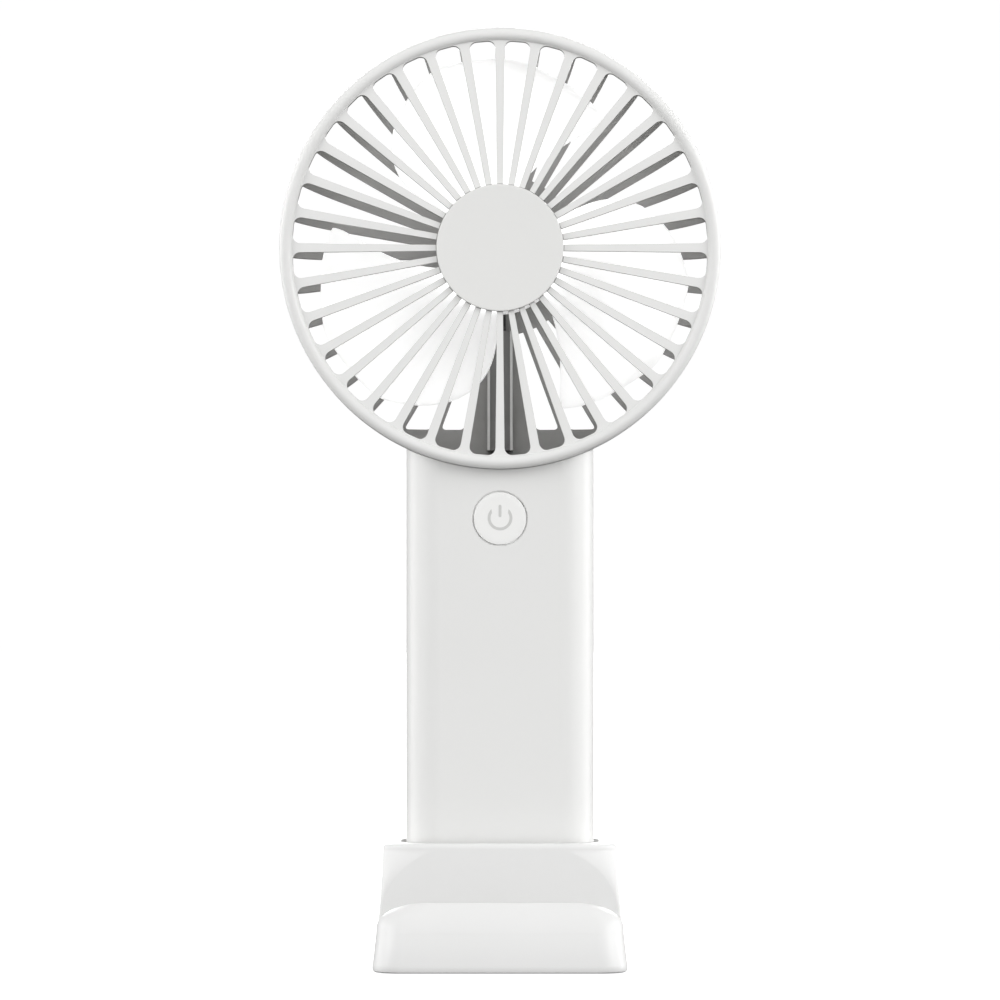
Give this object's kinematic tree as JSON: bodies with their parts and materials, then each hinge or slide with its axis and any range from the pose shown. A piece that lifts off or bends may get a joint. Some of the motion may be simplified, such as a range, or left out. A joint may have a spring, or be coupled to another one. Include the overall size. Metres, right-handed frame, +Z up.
{
  "type": "handheld electric fan",
  "caption": "Battery-powered handheld fan with a round caged head and flat handle, standing in a socketed dock that has a phone slot along its front.",
  "frame": {"origin": "centre of the dock's footprint, on the table", "axes": "+Z up, -Y towards the front, where the air blows out and the phone slot lies, +X to the right seen from the front"},
  "size_m": [0.1, 0.0599, 0.2124],
  "materials": {
    "dock_plastic": "satin",
    "base_plastic": "satin",
    "screw_steel": "zinc plated",
    "pad_rubber": "matt",
    "head_plastic": "semi-gloss",
    "badge_plastic": "semi-gloss",
    "guard_plastic": "fine matt texture",
    "blade_plastic": "semi-gloss",
    "cup_steel": "plain",
    "magnet": "matt",
    "shaft_steel": "ground",
    "tube_brass": "turned",
    "core_steel": "stacked sheets",
    "coil_copper": "enamelled wire",
    "board": "solder mask",
    "lead_sheath": "smooth",
    "handle_plastic": "satin",
    "button_plastic": "satin",
    "part_black": "moulded",
    "light_pipe": "clear",
    "cell_can": "film-wrapped",
    "strip_nickel": "plain",
    "foam": "soft"
  },
  "bodies": {
    "dock": {"dock_shell": "dock_plastic", "dock_base_plate": "base_plastic", "dock_screws": "screw_steel", "anti_slip_pad": "pad_rubber"},
    "fan": {"front_grille": "head_plastic", "center_badge": "badge_plastic", "head_ring": "head_plastic", "rear_guard": "guard_plastic", "wire_duct_cover": "guard_plastic", "bearing_tube": "tube_brass", "front_bearing": "shaft_steel", "rear_bearing": "shaft_steel", "stator_core": "core_steel", "stator_coils": "coil_copper", "motor_board": "board", "motor_screws": "screw_steel", "motor_leads": "lead_sheath", "handle_front_shell": "handle_plastic", "handle_rear_shell": "handle_plastic", "handle_bottom_cap": "handle_plastic", "handle_screws": "screw_steel", "switch_body": "part_black", "main_board": "board", "board_parts": "part_black", "board_screws": "screw_steel", "charging_socket": "cup_steel", "charge_light": "light_pipe", "battery_cell_left": "cell_can", "battery_cell_right": "cell_can", "battery_strips": "strip_nickel", "battery_foam": "foam", "positive_lead": "lead_sheath", "negative_lead": "lead_sheath"},
    "impeller": {"impeller": "blade_plastic", "rotor_cup": "cup_steel", "ring_magnet": "magnet", "motor_shaft": "shaft_steel", "shaft_clip": "screw_steel"},
    "button": {"power_button": "button_plastic", "switch_plunger": "part_black"}
  },
  "joints": [
    {"name": "fan_lift", "type": "slide", "parent": "dock", "child": "fan", "axis": [0, 0, 1], "range_m": [0, 0.04]},
    {"name": "impeller_spin", "type": "hinge", "parent": "fan", "child": "impeller", "pos_m": [0, 0, 0.1624], "axis": [0, -1, 0], "continuous": true},
    {"name": "button_press", "type": "slide", "parent": "fan", "child": "button", "axis": [0, 1, 0], "range_m": [0, 0.0004], "stiffness_N_per_m": 1500}
  ]
}
